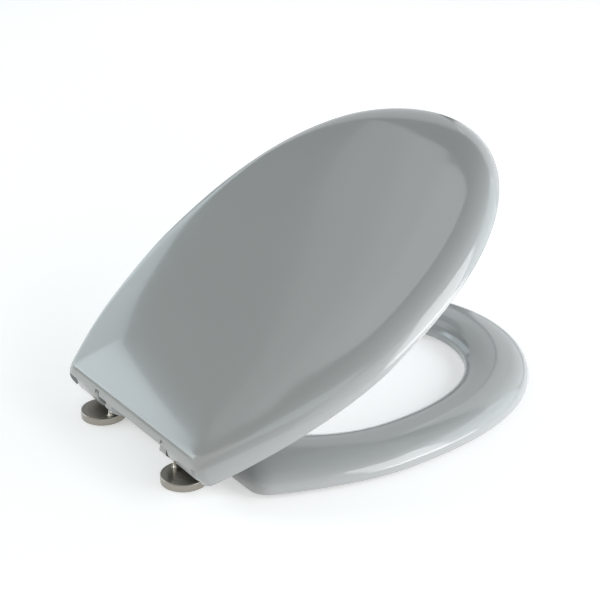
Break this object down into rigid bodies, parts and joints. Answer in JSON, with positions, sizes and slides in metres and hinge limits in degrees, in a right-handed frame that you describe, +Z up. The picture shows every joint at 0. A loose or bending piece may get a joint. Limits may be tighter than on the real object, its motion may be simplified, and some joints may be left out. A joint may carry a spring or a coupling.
{
  "type": "toilet seat",
  "caption": "Glossy grey oval toilet seat: moulded ring and wrap-over lid on one hinge line, with round brushed steel rosettes and upright pins it plugs on to.",
  "frame": {"origin": "midway between the two fixing holes, on the plane of the bowl's rim that the gaskets and the ring's buffers rest on", "axes": "+Y to the front of the bowl, +Z up, X along the hinge line; the right-hand side seen from the back is +X, the near side in the picture"},
  "size_m": [0.375, 0.456, 0.2607],
  "materials": {
    "thermoset": "polished blue-grey moulded thermoset",
    "brushed_stainless": "circular brushed stainless steel",
    "polished_stainless": "turned and polished stainless steel",
    "cast_alloy": "plain die-cast alloy",
    "pale_rubber": "soft pale grey rubber",
    "black_rubber": "black sealing rubber",
    "pale_acetal": "natural acetal",
    "dark_nylon": "fine-grained dark nylon"
  },
  "bodies": {
    "feet": {"rosette_left": "brushed_stainless", "rosette_right": "brushed_stainless", "base_left": "cast_alloy", "base_right": "cast_alloy", "gasket_left": "pale_rubber", "gasket_right": "pale_rubber", "pin_left": "polished_stainless", "pin_right": "polished_stainless"},
    "hinge_cores": {"hinge_block_left": "dark_nylon", "hinge_block_right": "dark_nylon", "damper_housing_left": "dark_nylon", "damper_housing_right": "dark_nylon", "damper_cap_left": "dark_nylon", "damper_cap_right": "dark_nylon", "damper_seal_left": "black_rubber", "damper_seal_right": "black_rubber"},
    "seat_ring": {"ring": "thermoset", "ring_buffer_front_left": "pale_rubber", "ring_buffer_front_right": "pale_rubber", "ring_buffer_rear_left": "pale_rubber", "ring_buffer_rear_right": "pale_rubber", "ring_insert_left": "dark_nylon", "ring_insert_right": "dark_nylon", "damper_rotor_right": "pale_acetal"},
    "lid": {"lid": "thermoset", "lid_buffer_front_left": "pale_rubber", "lid_buffer_front_right": "pale_rubber", "lid_buffer_rear_left": "pale_rubber", "lid_buffer_rear_right": "pale_rubber", "lid_insert_left": "dark_nylon", "lid_insert_right": "dark_nylon", "damper_rotor_left": "pale_acetal"},
    "catch_left": {"catch_left": "dark_nylon"},
    "catch_right": {"catch_right": "dark_nylon"}
  },
  "joints": [
    {"name": "lift_off", "type": "slide", "parent": "feet", "child": "hinge_cores", "axis": [0, 0, 1], "range_m": [0, 0.025]},
    {"name": "ring_hinge", "type": "hinge", "parent": "hinge_cores", "child": "seat_ring", "pos_m": [0, 0.009, 0.0315], "axis": [1, 0, 0], "range_deg": [0, 72]},
    {"name": "lid_hinge", "type": "hinge", "parent": "seat_ring", "child": "lid", "pos_m": [0, 0.009, 0.0315], "axis": [1, 0, 0], "range_deg": [-32, 60]},
    {"name": "catch_left_slide", "type": "slide", "parent": "hinge_cores", "child": "catch_left", "axis": [0, -1, 0], "range_m": [0, 0.0016]},
    {"name": "catch_right_slide", "type": "slide", "parent": "hinge_cores", "child": "catch_right", "axis": [0, -1, 0], "range_m": [0, 0.0016]}
  ]
}
